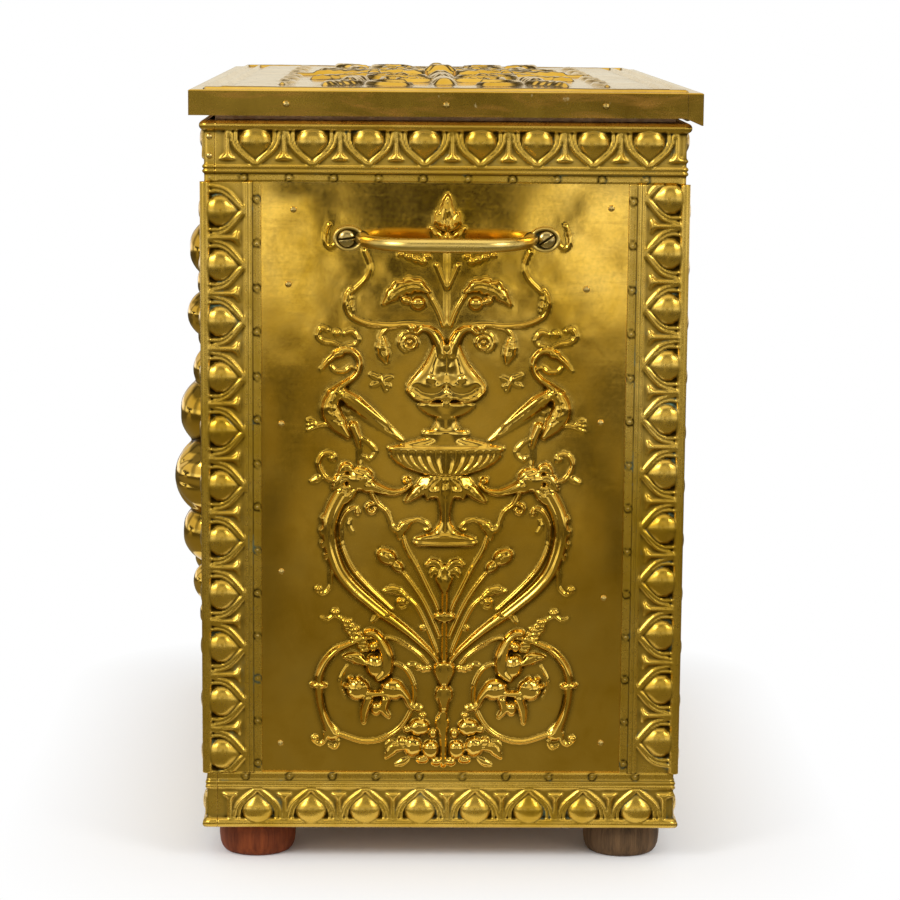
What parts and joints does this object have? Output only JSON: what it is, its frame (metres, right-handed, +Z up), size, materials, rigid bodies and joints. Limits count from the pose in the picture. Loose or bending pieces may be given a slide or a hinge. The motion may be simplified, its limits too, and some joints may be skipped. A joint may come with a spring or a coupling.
{
  "type": "kindling box",
  "caption": "Free-standing lidded kindling box: a wooden case clad in embossed sheet brass, with bow handles on the ends, a back-hinged lid and round wooden feet.",
  "frame": {"origin": "centre of the footprint of the whole outline, on the floor", "axes": "+Z up, +X along the front from left to right, the front faces -Y"},
  "size_m": [0.5534, 0.3171, 0.476],
  "materials": {
    "panel_brass": "aged polished sheet brass with hammered relief",
    "moulding_brass": "aged polished embossed brass, dark in the hollows",
    "rim_brass": "dark tarnished scratched brass",
    "handle_brass": "polished cast brass",
    "nail_brass": "worn brass nail heads",
    "screw_brass": "worn brass screws",
    "screw_steel": "dull steel screws",
    "hinge_brass": "tarnished brass hinges",
    "pine": "bare aged pine boards",
    "foot_mahogany": "reddish brown turned wood",
    "foot_oak": "weathered grey brown turned wood"
  },
  "bodies": {
    "box": {"bottom_board": "pine", "front_board": "pine", "back_board": "pine", "end_board_left": "pine", "end_board_right": "pine", "front_panel": "panel_brass", "back_panel": "panel_brass", "end_panel_left": "panel_brass", "end_panel_right": "panel_brass", "corner_strip_front_left": "moulding_brass", "corner_strip_front_right": "moulding_brass", "corner_strip_back_left": "moulding_brass", "corner_strip_back_right": "moulding_brass", "top_band_front": "moulding_brass", "top_band_back": "moulding_brass", "top_band_left": "moulding_brass", "top_band_right": "moulding_brass", "base_band_front": "moulding_brass", "base_band_back": "moulding_brass", "base_band_left": "moulding_brass", "base_band_right": "moulding_brass", "nails_front": "nail_brass", "nails_back": "nail_brass", "nails_left": "nail_brass", "nails_right": "nail_brass", "panel_pins_left": "nail_brass", "panel_pins_right": "nail_brass", "handle_left": "handle_brass", "handle_right": "handle_brass", "handle_screws_left": "screw_brass", "handle_screws_right": "screw_brass", "foot_front_left": "foot_mahogany", "foot_front_right": "foot_mahogany", "foot_back_left": "foot_oak", "foot_back_right": "foot_oak", "foot_screws": "screw_steel", "hinge_body_leaf_left": "hinge_brass", "hinge_body_leaf_right": "hinge_brass", "hinge_pin_left": "hinge_brass", "hinge_pin_right": "hinge_brass", "hinge_body_screws": "screw_brass"},
    "lid": {"hinge_lid_leaf_left": "hinge_brass", "hinge_lid_leaf_right": "hinge_brass", "hinge_lid_screws": "screw_brass", "lid_board": "pine", "lid_top_sheet": "panel_brass", "lid_rim_front": "rim_brass", "lid_rim_back": "rim_brass", "lid_rim_left": "rim_brass", "lid_rim_right": "rim_brass", "lid_nails": "nail_brass"}
  },
  "joints": [
    {"name": "lid_hinge", "type": "hinge", "parent": "box", "child": "lid", "pos_m": [0, 0.1552, 0.4505], "axis": [-1, 0, 0], "range_deg": [0, 100]}
  ]
}
